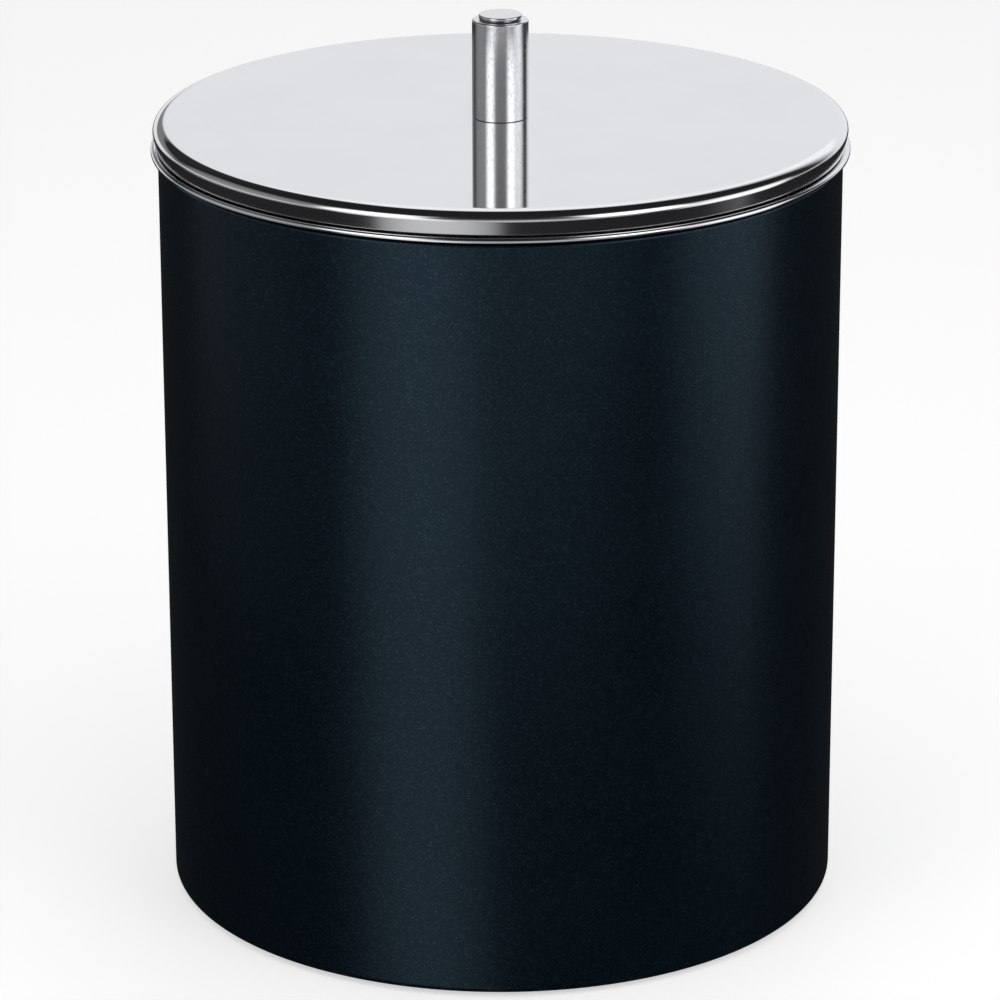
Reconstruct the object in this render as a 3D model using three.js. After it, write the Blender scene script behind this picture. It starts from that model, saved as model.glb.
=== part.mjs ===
// Insulated ice bucket: a coated double wall, a steel rim and a lift-off lid with a turned knob.
// Millimetres, +Z up, origin at the middle of the base.

import * as THREE from 'three';

// ---- Driving dimensions ----

const GAP = 0.3; // clearance between neighbouring pieces
const FIT = 0.1; // clearance where two pieces are clamped together

const BODY_RADIUS = 73; // outside of the coated shell
const SHELL_SHEET = 0.8;
const FOOT_LIFT = 0.8; // the shell's bottom edge above the table
const CURL_RADIUS = 1.5; // outside radius of the shell's curled bottom edge

const LINER_RADIUS = 65; // inside of the liner
const LINER_SHEET = 0.7;
const LINER_CORNER = 6;
const FLOOR_Z = 14; // inside floor of the liner

const SEAT_Z = 167; // top of the rim, where the lid rests
const RIM_SHEET = 0.7;
const LIP_RADIUS = 74.5; // edge of the rim, the widest circle of the object
const LIP_DROP = 1.1; // underside of the lip below the seat

const LID_TOP_Z = 172.2;
const LID_RADIUS = 74; // widest circle of the lid
const LID_FLAT_RADIUS = 71.5; // edge of the lid's flat top
const LID_SHOULDER = 1.9; // height of the lid's rounded shoulder
const LID_FOOT_RADIUS = 73.4; // bottom edge of the lid's skirt
const LID_SHEET = 0.9;
const PLUG_RADIUS = 62.6; // the pan that hangs inside the mouth
const PLUG_Z = 157; // underside of the pan
const PAN_SHEET = 0.6;

const KNOB_RADIUS = 6;
const KNOB_HEIGHT = 21.2; // shoulder of the knob above the lid
const CAP_RADIUS = 4.6;
const CAP_HEIGHT = 1;

const SEAL_Z = 160; // lower edge of the silicone band
const FIN_STEP = 0.8; // half the thickness of a fin at its root
const FIN_PITCH = 3;

const STRAINER_RADIUS = 62;
const STRAINER_Z = 23; // underside of the perforated plate
const STRAINER_SHEET = 0.8;

const STUD_RADIUS = 3; // M6 stud under the liner
const STUD_BOTTOM_Z = 2.6;
const STUD_HEAD_RADIUS = 8;
const NUT_CORNERS = 11.5; // across the corners
const NUT_Z = 2.4;
const NUT_HEIGHT = 4.8;
const TIE_WASHER_RADIUS = 7;
const TIE_WASHER_SHEET = 1.2;

const SCREW_HOLE = 2.3; // radius, for the M4 screw of the knob
const WASHER_BORE = 2.4;
const PAD_RADIUS = 4.7;
const SPREADER_RADIUS = 9;
const SPREADER_SHEET = 1;
const LOCK_RADIUS = 3.7;
const LOCK_SHEET = 0.9;

const FOAM_TOP_Z = 164;
const FOAM_BORE = 16; // room for the stud's head and the pocket
const GASKET_INSIDE = 69.5;
const GASKET_OUTSIDE = 72.8;

const LARGE = 48; // facets round the bucket and the lid
const MEDIUM = 32; // facets round the knob and the washers
const SMALL = 16; // facets round screws and holes

// ---- Materials ----

const COATING = { color: 0x14202a, roughness: 0.42, metalness: 0.35 };
const POLISHED = { color: 0xd9dbde, roughness: 0.07, metalness: 1 };
const SATIN = { color: 0xb9bcc0, roughness: 0.32, metalness: 1 };
const ZINC = { color: 0x9aa0a6, roughness: 0.4, metalness: 1 };
const FOAM = { color: 0xe6e1d2, roughness: 0.95, metalness: 0 };
const RUBBER = { color: 0x17181a, roughness: 0.8, metalness: 0 };
const SILICONE = { color: 0xc4c8ca, roughness: 0.6, metalness: 0 };
const NYLON = { color: 0x1d1e20, roughness: 0.55, metalness: 0 };

// ---- Helpers ----

const bucket = new THREE.Group();

function addPiece(name, geometry, finish) {
  const mesh = new THREE.Mesh(geometry, new THREE.MeshStandardMaterial(finish));
  mesh.name = name;
  bucket.add(mesh);
}

// Points along an elliptic arc in the radius-height plane, angles in degrees.
function arc(radius, height, width, rise, from, to, steps = 4) {
  return Array.from({ length: steps + 1 }, (_, i) => {
    const angle = THREE.MathUtils.degToRad(from + ((to - from) * i) / steps);
    return [radius + width * Math.cos(angle), height + rise * Math.sin(angle)];
  });
}

// Turns a [radius, height] outline round +Z. The outline runs anticlockwise with its inside on the
// left, and either starts and ends on the axis or is closed here.
function turned(outline, facets) {
  const last = outline[outline.length - 1];
  const touchesAxis = outline[0][0] === 0 && last[0] === 0;
  const points = touchesAxis ? outline : [...outline, outline[0]];
  const profile = points.map(([radius, height]) => new THREE.Vector2(radius, height));
  return new THREE.LatheGeometry(profile, facets).rotateX(Math.PI / 2);
}

function ring(inner, outer, bottom, top, facets) {
  return turned([[inner, bottom], [outer, bottom], [outer, top], [inner, top]], facets);
}

function circle(x, y, radius, facets) {
  const points = Array.from({ length: facets }, (_, i) => {
    const angle = (2 * Math.PI * i) / facets;
    return new THREE.Vector2(x + radius * Math.cos(angle), y + radius * Math.sin(angle));
  });
  return new THREE.Path(points);
}

function plate(shape, bottom, thickness) {
  const geometry = new THREE.ExtrudeGeometry(shape, { depth: thickness, bevelEnabled: false });
  return geometry.translate(0, 0, bottom);
}

// ---- Bucket: outer shell, liner and rim ----

const RIM_UNDER_Z = SEAT_Z - RIM_SHEET;
const SHELL_TOP_Z = RIM_UNDER_Z - 1;
const SHELL_INSIDE = BODY_RADIUS - SHELL_SHEET;
const BASE_LEDGE_Z = 3.2; // underside of the ledge that the base plate is pulled against

// A rolled tube. Its top edge is turned in to carry the rim. Its bottom edge curls in and up,
// and ends in a ledge for the base plate.
function outerShell() {
  const curlMiddle = BODY_RADIUS - CURL_RADIUS;
  const curlZ = FOOT_LIFT + CURL_RADIUS;
  const innerCurl = CURL_RADIUS - SHELL_SHEET;
  const flangeInside = 68.6;
  const ledgeInside = 66;
  return turned([
    [SHELL_INSIDE, SHELL_TOP_Z - SHELL_SHEET],
    [flangeInside, SHELL_TOP_Z - SHELL_SHEET],
    [flangeInside, SHELL_TOP_Z],
    ...arc(SHELL_INSIDE, SHELL_TOP_Z - SHELL_SHEET, SHELL_SHEET, SHELL_SHEET, 90, 0, 2),
    ...arc(curlMiddle, curlZ, CURL_RADIUS, CURL_RADIUS, 0, -180, 6),
    [curlMiddle - CURL_RADIUS, BASE_LEDGE_Z],
    [ledgeInside, BASE_LEDGE_Z],
    [ledgeInside, BASE_LEDGE_Z + SHELL_SHEET],
    [curlMiddle - innerCurl, BASE_LEDGE_Z + SHELL_SHEET],
    ...arc(curlMiddle, curlZ, innerCurl, innerCurl, -180, 0, 3),
  ].reverse(), LARGE);
}

// A drawn cup with a round bottom corner and a flange turned out under the rim.
function innerLiner() {
  const outside = LINER_RADIUS + LINER_SHEET;
  const flangeTop = RIM_UNDER_Z - FIT;
  const flangeBend = 0.7;
  const bendZ = flangeTop - LINER_SHEET - flangeBend;
  const flangeOutside = 69.2;
  const cornerMiddle = outside - LINER_CORNER;
  const cornerZ = FLOOR_Z - LINER_SHEET + LINER_CORNER;
  const inner = LINER_CORNER - LINER_SHEET;
  const outerBend = flangeBend + LINER_SHEET;
  return turned([
    [0, FLOOR_Z - LINER_SHEET],
    ...arc(cornerMiddle, cornerZ, LINER_CORNER, LINER_CORNER, -90, 0),
    ...arc(outside + flangeBend, bendZ, flangeBend, flangeBend, 180, 90, 2),
    [flangeOutside, flangeTop - LINER_SHEET],
    [flangeOutside, flangeTop],
    ...arc(outside + flangeBend, bendZ, outerBend, outerBend, 90, 180, 2),
    ...arc(cornerMiddle, cornerZ, inner, inner, 0, -90),
    [0, FLOOR_Z],
  ], LARGE);
}

// A pressed ring over the liner's flange, with a hemmed lip that overhangs the shell.
function rimRing() {
  const mouth = LINER_RADIUS + FIT;
  const lipZ = SEAT_Z - LIP_DROP;
  return turned([
    [mouth, RIM_UNDER_Z],
    [LIP_RADIUS - 1.2, RIM_UNDER_Z],
    [LIP_RADIUS - 1, lipZ],
    [LIP_RADIUS - 0.2, lipZ],
    [LIP_RADIUS, lipZ + 0.2],
    [LIP_RADIUS, lipZ + 0.5],
    [LIP_RADIUS - 0.2, lipZ + 0.7],
    [LIP_RADIUS - 1.3, SEAT_Z],
    [mouth + 0.3, SEAT_Z],
    [mouth, SEAT_Z - 0.3],
  ], LARGE);
}

// ---- Bucket: insulation, base and the stud that ties it together ----

const BASE_RADIUS = 69.7;
const BASE_Z = BASE_LEDGE_Z - GAP - SHELL_SHEET; // underside of the base plate
const POCKET_RADIUS = 11;
const POCKET_Z = 9; // ceiling of the pocket that hides the nut
const FOOT_INSIDE = 58;
const FOOT_OUTSIDE = 68.8;

// A pressed disc with a raised ring for stiffness and a pocket in the middle.
function basePlate() {
  const swage = 1;
  const taper = 1.4;
  const underside = [
    [STUD_RADIUS + 0.5, POCKET_Z],
    [POCKET_RADIUS, POCKET_Z],
    [POCKET_RADIUS + taper, BASE_Z],
    [30, BASE_Z],
    [34, BASE_Z + swage],
    [50, BASE_Z + swage],
    [54, BASE_Z],
    [BASE_RADIUS, BASE_Z],
  ];
  const upperSide = underside.map(([radius, height]) => [radius, height + SHELL_SHEET]).reverse();
  return turned([...underside, ...upperSide], LARGE);
}

function footRing() {
  const top = BASE_Z - GAP;
  const edge = 0.4;
  return turned([
    [FOOT_INSIDE + edge, 0],
    [FOOT_OUTSIDE - edge, 0],
    [FOOT_OUTSIDE, edge],
    [FOOT_OUTSIDE, top],
    [FOOT_INSIDE, top],
    [FOOT_INSIDE, edge],
  ], LARGE);
}

// A headed stud, welded by its head to the underside of the liner.
function tieStud() {
  const headTop = FLOOR_Z - LINER_SHEET - GAP;
  const headUnder = headTop - 1;
  const tip = 0.4;
  return turned([
    [0, STUD_BOTTOM_Z],
    [STUD_RADIUS - tip, STUD_BOTTOM_Z],
    [STUD_RADIUS, STUD_BOTTOM_Z + tip],
    [STUD_RADIUS, headUnder - 0.2],
    [STUD_HEAD_RADIUS, headUnder],
    [STUD_HEAD_RADIUS, headTop],
    [0, headTop],
  ], SMALL);
}

function tieNut() {
  const nut = new THREE.Shape(circle(0, 0, NUT_CORNERS / 2, 6).getPoints());
  nut.holes.push(circle(0, 0, STUD_RADIUS + GAP, SMALL));
  return plate(nut, NUT_Z, NUT_HEIGHT);
}

// ---- Strainer: perforated plate that keeps the ice out of the melt water ----

const FOOT_OFFSET = 57; // middle of each foot from the axis
const FOOT_RADIUS = 2.4;
const DRAIN_RADIUS = 3.5;
const FINGER_RADIUS = 9;
const FINGER_OFFSET = 22;

function evenAngles(count, first) {
  return Array.from({ length: count }, (_, i) => first + (360 / count) * i);
}

// The plate has rings of drain holes and two finger holes to lift it by.
function strainerPlate() {
  const disc = new THREE.Shape(circle(0, 0, STRAINER_RADIUS, LARGE).getPoints());
  const drainRings = [
    { radius: 10, angles: evenAngles(4, 45) },
    { radius: 25, angles: [60, 90, 120, 240, 270, 300] },
    { radius: 38, angles: evenAngles(16, 0) },
    { radius: 50, angles: evenAngles(24, 7.5) },
  ];
  for (const { radius, angles } of drainRings) {
    for (const angle of angles) {
      const turn = THREE.MathUtils.degToRad(angle);
      const x = radius * Math.cos(turn);
      const y = radius * Math.sin(turn);
      disc.holes.push(circle(x, y, DRAIN_RADIUS, SMALL / 2));
    }
  }
  disc.holes.push(circle(FINGER_OFFSET, 0, FINGER_RADIUS, SMALL));
  disc.holes.push(circle(-FINGER_OFFSET, 0, FINGER_RADIUS, SMALL));
  return plate(disc, STRAINER_Z, STRAINER_SHEET);
}

// A short turned post, welded under the plate, at the given angle in degrees.
function strainerFoot(angle) {
  const bottom = FLOOR_Z + GAP;
  const post = turned([
    [0, bottom], [FOOT_RADIUS - 0.4, bottom], [FOOT_RADIUS, bottom + 0.4],
    [FOOT_RADIUS, STRAINER_Z - FIT], [0, STRAINER_Z - FIT],
  ], SMALL);
  const turn = THREE.MathUtils.degToRad(angle);
  return post.translate(FOOT_OFFSET * Math.cos(turn), FOOT_OFFSET * Math.sin(turn), 0);
}

// ---- Lid: polished top, pan, insulation and seal ----

const LID_UNDER_Z = LID_TOP_Z - LID_SHEET;
const LID_FOOT_Z = SEAT_Z + GAP;
const HEM_INSIDE = 71.6;
const HEM_TOP_Z = LID_FOOT_Z + 0.8;
const PAN_FLANGE_RADIUS = LID_FOOT_RADIUS - 1.1;

// A flat pressing with a rounded shoulder and a short skirt hemmed in at its foot.
function lidTop() {
  const shoulderZ = LID_TOP_Z - LID_SHOULDER;
  const shoulderWidth = LID_RADIUS - LID_FLAT_RADIUS;
  return turned([
    [SCREW_HOLE, LID_UNDER_Z],
    ...arc(LID_FLAT_RADIUS, shoulderZ - 0.2, shoulderWidth - LID_SHEET, 1.2, 90, 0, 2),
    [LID_FOOT_RADIUS - 0.7, HEM_TOP_Z],
    [HEM_INSIDE, HEM_TOP_Z],
    [HEM_INSIDE, LID_FOOT_Z],
    [LID_FOOT_RADIUS - 0.3, LID_FOOT_Z],
    [LID_FOOT_RADIUS, LID_FOOT_Z + 0.3],
    [LID_RADIUS - 0.15, shoulderZ - 1.3],
    ...arc(LID_FLAT_RADIUS, shoulderZ, shoulderWidth, LID_SHOULDER, 0, 90, 4),
    [SCREW_HOLE, LID_TOP_Z],
  ], LARGE);
}

// The lid's underside: a shallow pan whose wall hangs in the mouth and whose flange lies on the hem.
function lidPan() {
  const flangeZ = HEM_TOP_Z + GAP;
  const corner = 2;
  const inner = corner - PAN_SHEET;
  const cornerMiddle = PLUG_RADIUS - corner;
  return turned([
    [0, PLUG_Z],
    ...arc(cornerMiddle, PLUG_Z + corner, corner, corner, -90, 0, 3),
    [PLUG_RADIUS, flangeZ],
    [PAN_FLANGE_RADIUS, flangeZ],
    [PAN_FLANGE_RADIUS, flangeZ + PAN_SHEET],
    [PLUG_RADIUS - PAN_SHEET, flangeZ + PAN_SHEET],
    ...arc(cornerMiddle, PLUG_Z + corner, inner, inner, 0, -90, 3),
    [0, PLUG_Z + PAN_SHEET],
  ], LARGE);
}

function lidInsulation() {
  const bottom = PLUG_Z + PAN_SHEET + GAP;
  const top = LID_UNDER_Z - GAP;
  const outside = PLUG_RADIUS - PAN_SHEET - GAP;
  const ledgeZ = HEM_TOP_Z + GAP + PAN_SHEET + GAP;
  const screwRoom = SPREADER_RADIUS + 0.5;
  const ledgeRadius = PAN_FLANGE_RADIUS - 1.5;
  const edge = 1.7;
  return turned([
    [screwRoom, bottom], [outside - edge, bottom], [outside, bottom + edge], [outside, ledgeZ],
    [ledgeRadius, ledgeZ], [ledgeRadius, top], [screwRoom, top],
  ], LARGE);
}

// A silicone band round the pan's wall, with two fins towards the liner.
function lidSeal() {
  const inside = PLUG_RADIUS + GAP;
  const band = inside + 1;
  const tip = LINER_RADIUS - 0.25;
  const top = SEAL_Z + FIN_PITCH + 2 * FIN_STEP;
  const fins = [SEAL_Z, SEAL_Z + FIN_PITCH].flatMap((z) => [
    [band, z], [tip, z + FIN_STEP], [band, z + 2 * FIN_STEP],
  ]);
  return turned([[inside, SEAL_Z], ...fins, [inside, top]], LARGE);
}

// ---- Knob and its fixings ----

const KNOB_FOOT_Z = LID_TOP_Z + 0.2;
const KNOB_TOP_Z = LID_TOP_Z + KNOB_HEIGHT;
const KNOB_RECESS_Z = KNOB_FOOT_Z + 0.6;
const STEM_HOLE = 1.7;
const STEM_HOLE_Z = KNOB_TOP_Z - 4.4;
const THREAD_HOLE = 2.2;
const THREAD_HOLE_Z = KNOB_FOOT_Z + 13;

// A plain bar. Its foot is recessed for a washer and drilled for the screw.
// Its top is drilled for the cap's stem.
function knob() {
  const edge = 0.3;
  return turned([
    [0, THREAD_HOLE_Z],
    [THREAD_HOLE, THREAD_HOLE_Z],
    [THREAD_HOLE, KNOB_RECESS_Z],
    [KNOB_RADIUS - 1, KNOB_RECESS_Z],
    [KNOB_RADIUS - 1, KNOB_FOOT_Z],
    [KNOB_RADIUS - edge, KNOB_FOOT_Z],
    [KNOB_RADIUS, KNOB_FOOT_Z + edge],
    [KNOB_RADIUS, KNOB_TOP_Z - edge],
    [KNOB_RADIUS - edge, KNOB_TOP_Z],
    [STEM_HOLE, KNOB_TOP_Z],
    [STEM_HOLE, STEM_HOLE_Z],
    [0, STEM_HOLE_Z],
  ], MEDIUM);
}

function knobCap() {
  const stem = STEM_HOLE - GAP;
  const bottom = KNOB_TOP_Z + FIT;
  const top = KNOB_TOP_Z + FIT + CAP_HEIGHT;
  return turned([
    [0, STEM_HOLE_Z + GAP], [stem, STEM_HOLE_Z + GAP], [stem, bottom],
    [CAP_RADIUS - 0.4, bottom], [CAP_RADIUS, top - 0.3], [CAP_RADIUS - 0.2, top], [0, top],
  ], MEDIUM);
}

const SPREADER_Z = LID_UNDER_Z - FIT - SPREADER_SHEET;
const LOCK_WASHER_Z = SPREADER_Z - FIT - LOCK_SHEET;

function knobScrew() {
  const shank = 1.9;
  const headRadius = 3.8;
  const headFlat = 1.8; // flat part of the pan head
  const headTop = LOCK_WASHER_Z - FIT;
  const headHeight = 2.5;
  const domeZ = headTop - 0.5;
  const domeHeight = domeZ - (headTop - headHeight);
  return turned([
    [0, headTop - headHeight],
    ...arc(headFlat, domeZ, headRadius - headFlat, domeHeight, -90, 0),
    [headRadius, headTop],
    [shank, headTop],
    [shank, THREAD_HOLE_Z - 1],
    [shank - 0.5, THREAD_HOLE_Z - 0.5],
    [0, THREAD_HOLE_Z - 0.5],
  ], SMALL);
}

// A split spring washer: a ring with a narrow slot through it.
function lockWasher() {
  const slot = 0.16; // half the slot's width, in radians
  const section = new THREE.Shape();
  section.absarc(0, 0, LOCK_RADIUS, slot, 2 * Math.PI - slot, false);
  section.absarc(0, 0, SCREW_HOLE, 2 * Math.PI - slot, slot, true);
  section.closePath();
  const settings = { depth: LOCK_SHEET, bevelEnabled: false, curveSegments: SMALL };
  return new THREE.ExtrudeGeometry(section, settings).translate(0, 0, LOCK_WASHER_Z);
}

// ---- Assembly ----

addPiece('outer_shell', outerShell(), COATING);
addPiece('inner_liner', innerLiner(), SATIN);
addPiece('rim_ring', rimRing(), POLISHED);
const gasketBottom = SHELL_TOP_Z + FIT;
const gasketTop = RIM_UNDER_Z - FIT;
addPiece('rim_gasket', ring(GASKET_INSIDE, GASKET_OUTSIDE, gasketBottom, gasketTop, LARGE), RUBBER);

const sleeveInside = LINER_RADIUS + LINER_SHEET + GAP;
const foamOutside = SHELL_INSIDE - GAP;
const discTop = FLOOR_Z - LINER_SHEET - 0.4;
const discBottom = BASE_LEDGE_Z + SHELL_SHEET + GAP;
addPiece('insulation_sleeve', ring(sleeveInside, foamOutside, discTop + GAP, FOAM_TOP_Z, LARGE), FOAM);
addPiece('insulation_disc', ring(FOAM_BORE, foamOutside, discBottom, discTop, LARGE), FOAM);

addPiece('base_plate', basePlate(), SATIN);
addPiece('foot_ring', footRing(), RUBBER);
addPiece('tie_stud', tieStud(), ZINC);
const washerTop = POCKET_Z - GAP;
const washerBottom = washerTop - TIE_WASHER_SHEET;
const washerBore = STUD_RADIUS + 0.4;
addPiece('tie_washer', ring(washerBore, TIE_WASHER_RADIUS, washerBottom, washerTop, MEDIUM), ZINC);
addPiece('tie_nut', tieNut(), ZINC);

addPiece('strainer_plate', strainerPlate(), SATIN);
evenAngles(4, 45).forEach((angle, i) => {
  addPiece(`strainer_foot_${i + 1}`, strainerFoot(angle), SATIN);
});

addPiece('lid_top', lidTop(), POLISHED);
addPiece('lid_pan', lidPan(), SATIN);
addPiece('lid_insulation', lidInsulation(), FOAM);
addPiece('lid_seal', lidSeal(), SILICONE);

addPiece('knob', knob(), POLISHED);
addPiece('knob_cap', knobCap(), POLISHED);
const padBottom = LID_TOP_Z + FIT;
const padTop = KNOB_RECESS_Z - FIT;
addPiece('knob_washer', ring(WASHER_BORE, PAD_RADIUS, padBottom, padTop, MEDIUM), NYLON);
addPiece('knob_screw', knobScrew(), ZINC);
const spreaderTop = SPREADER_Z + SPREADER_SHEET;
addPiece('screw_washer', ring(WASHER_BORE, SPREADER_RADIUS, SPREADER_Z, spreaderTop, MEDIUM), ZINC);
addPiece('lock_washer', lockWasher(), ZINC);

export default bucket;
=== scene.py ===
# %% [markdown]
# # An insulated ice bucket
#
# The bucket is a coated steel tube round a stainless liner, closed by a polished rim and a lid with
# a turned knob. Its working shape comes from a packed CAD model. This lesson loads that model,
# makes a smooth, finely finished surface for each piece, and lets each surface ride on the body
# that it belongs to. Outside sizes are read from the CAD pieces. Sheet thicknesses and small radii
# are named beside the piece that they shape, in millimetres unless a comment says otherwise.

# %% Load the frame
import math

import bmesh
import bpy
import numpy as np
from mathutils import Matrix, Vector


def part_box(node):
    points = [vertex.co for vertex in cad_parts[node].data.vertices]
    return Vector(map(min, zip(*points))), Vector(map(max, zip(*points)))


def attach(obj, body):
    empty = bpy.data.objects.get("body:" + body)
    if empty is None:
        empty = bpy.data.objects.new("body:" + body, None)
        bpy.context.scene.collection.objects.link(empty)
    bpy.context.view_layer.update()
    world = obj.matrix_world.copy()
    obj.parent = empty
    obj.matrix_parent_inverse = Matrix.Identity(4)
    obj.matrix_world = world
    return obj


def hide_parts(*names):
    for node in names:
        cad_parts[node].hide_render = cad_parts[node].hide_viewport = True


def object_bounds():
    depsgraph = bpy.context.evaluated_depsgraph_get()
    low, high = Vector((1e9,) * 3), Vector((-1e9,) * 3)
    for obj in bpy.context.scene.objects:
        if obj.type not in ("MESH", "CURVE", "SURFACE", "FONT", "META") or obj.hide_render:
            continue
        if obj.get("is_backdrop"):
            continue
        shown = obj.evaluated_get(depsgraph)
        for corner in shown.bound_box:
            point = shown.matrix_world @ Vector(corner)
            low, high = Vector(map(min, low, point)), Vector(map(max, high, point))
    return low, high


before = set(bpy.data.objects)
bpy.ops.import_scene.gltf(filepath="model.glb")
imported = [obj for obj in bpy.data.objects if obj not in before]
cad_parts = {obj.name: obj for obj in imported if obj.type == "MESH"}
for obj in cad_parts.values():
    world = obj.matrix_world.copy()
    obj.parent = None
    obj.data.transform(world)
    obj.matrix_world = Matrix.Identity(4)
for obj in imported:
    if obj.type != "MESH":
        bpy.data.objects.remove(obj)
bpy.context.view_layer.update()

MM = 0.001

# %% [markdown]
# ## The camera
#
# A small object seen from a metre away through a long lens hardly tapers. The camera looks down on
# the lid by about twenty degrees, so the flat mirror of the lid sees the far wall of the studio and
# not the ceiling. The lens stays unshifted, so that other views keep the object centred.

# %% Place the camera
BODY_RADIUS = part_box("outer_shell")[1].x
CAMERA_DISTANCE = 14.003 * BODY_RADIUS
CAMERA_HEIGHT = 6.145 * BODY_RADIUS
CAMERA_PITCH = math.radians(19.560)
CAMERA_ROLL = math.radians(-0.131)
CAMERA_ASIDE = -0.28 * MM
FOCAL_SHARE = 4.9584  # focal length over the width of the frame
SENSOR_WIDTH = 36  # millimetres

lens = bpy.data.cameras.new("camera")
lens.sensor_width = SENSOR_WIDTH
lens.lens = FOCAL_SHARE * SENSOR_WIDTH
camera = bpy.data.objects.new("camera", lens)
bpy.context.scene.collection.objects.link(camera)
camera.location = (CAMERA_ASIDE, -CAMERA_DISTANCE, CAMERA_HEIGHT)
tilt = Matrix.Rotation(math.radians(90) - CAMERA_PITCH, 3, "X")
roll = Matrix.Rotation(CAMERA_ROLL, 3, "Z")
camera.rotation_euler = (tilt @ roll).to_euler()
bpy.context.scene.camera = camera
print("lens in mm:", round(lens.lens, 1))

# %% [markdown]
# ## Outlines
#
# Nearly every piece is turned, spun or pressed round one axis, so it is an outline of radius and
# height carried once round that axis. A sharp corner looks false in polished metal, because real
# edges are always broken, so each corner of an outline is replaced by a small arc. Each point also
# keeps the exact direction that the surface faces there. Flat faces then stay flat mirrors, right
# up to the edge of the arc beside them.

# %% Round the corners of an outline
def rounded(corners, radii, closed=True, steps=6):
    """Points and facing directions along a polygon whose corners are arcs.

    Travelling with the material on the left, a corner turns from heading a to heading b. An arc of
    radius r starts r * tan(|b - a| / 2) before the corner, its heading goes evenly from a to b, and
    the surface faces a quarter turn to the right of the heading.
    """
    corners = np.asarray(corners, float)
    ahead = np.roll(corners, -1, axis=0) - corners
    if not closed:
        ahead[-1] = ahead[-2]
    heading_out = np.arctan2(ahead[:, 1], ahead[:, 0])
    heading_in = np.roll(heading_out, 1)
    if not closed:
        heading_in[0] = heading_out[0]
    turn = (heading_out - heading_in + np.pi) % (2 * np.pi) - np.pi
    radius = np.broadcast_to(np.asarray(radii, float), turn.shape)
    setback = radius * np.tan(np.abs(turn) / 2)
    start = corners - setback[:, None] * np.stack([np.cos(heading_in), np.sin(heading_in)], 1)
    share = np.linspace(0, 1, steps + 1)[None, :]
    heading = heading_in[:, None] + turn[:, None] * share
    side = (np.sign(turn) * radius)[:, None]
    r = start[:, :1] + side * (np.sin(heading) - np.sin(heading_in)[:, None])
    z = start[:, 1:] - side * (np.cos(heading) - np.cos(heading_in)[:, None])
    points = np.stack([r.ravel(), z.ravel()], 1)
    facing = np.stack([np.sin(heading).ravel(), -np.cos(heading).ravel()], 1)
    return points, facing


def oval_arc(centre, half_width, half_height, steps):
    """A quarter of an ellipse, from its widest point to its top.

    At angle a the point is (half_width cos a, half_height sin a) from the centre, and the surface
    faces along (cos a / half_width, sin a / half_height), made one long.
    """
    angle = np.radians(np.linspace(0, 90, steps + 1))
    around = np.stack([np.cos(angle), np.sin(angle)], 1)
    half_size = np.array([half_width, half_height])
    facing = around / half_size
    return centre + around * half_size, facing / np.linalg.norm(facing, axis=1)[:, None]


SAME_PLACE = 1e-4  # points nearer than this, in millimetres, are one


def joined(*runs):
    """Runs of an outline laid end to end. Points that coincide become one, facing between both."""
    points = np.concatenate([run[0] for run in runs])
    facing = np.concatenate([run[1] for run in runs])
    keep = [0]
    for i in range(1, len(points)):
        if np.linalg.norm(points[i] - points[keep[-1]]) > SAME_PLACE:
            keep.append(i)
        else:
            blended = facing[keep[-1]] + facing[i]
            facing[keep[-1]] = blended / np.linalg.norm(blended)
    if np.linalg.norm(points[keep[-1]] - points[0]) < SAME_PLACE:
        keep.pop()
    return points[keep], facing[keep]


def reach(node):
    """Outside radius, lowest and highest height of a CAD piece, in millimetres."""
    low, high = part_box(node)
    return high.x / MM, low.z / MM, high.z / MM


square = rounded([[1, 0], [9, 0], [9, 8], [1, 8]], 1)
print("a square with 1 mm corners has", len(square[0]), "points")

# %% [markdown]
# ## Carrying an outline round the axis
#
# The points of the outline, turned through many small steps, make a grid of corners. Rows that lie
# on the axis shrink to a single corner, so the piece is closed there with triangles and no pinhole.

# %% Spin an outline into a piece
def make_mesh(name, corners, faces, facing=None):
    """A new object at the origin, smooth all over. Facing is the direction at each corner."""
    mesh = bpy.data.meshes.new(name)
    mesh.from_pydata(corners.tolist(), [], faces)
    mesh.polygons.foreach_set("use_smooth", np.ones(len(mesh.polygons), bool))
    if facing is not None:
        mesh.normals_split_custom_set_from_vertices(facing.tolist())
    mesh.update()
    piece = bpy.data.objects.new(name, mesh)
    bpy.context.scene.collection.objects.link(piece)
    return piece


def turned_round(pairs, turns):
    """Each pair of outward and upward parts, at every angle a: (outward cos a, outward sin a, up)."""
    angle = 2 * np.pi * np.arange(turns) / turns
    around = np.stack([np.cos(angle), np.sin(angle)], 1)
    level = pairs[:, None, :1] * around
    up = np.broadcast_to(pairs[:, None, 1:], (len(pairs), turns, 1))
    return np.concatenate([level, up], 2)


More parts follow.
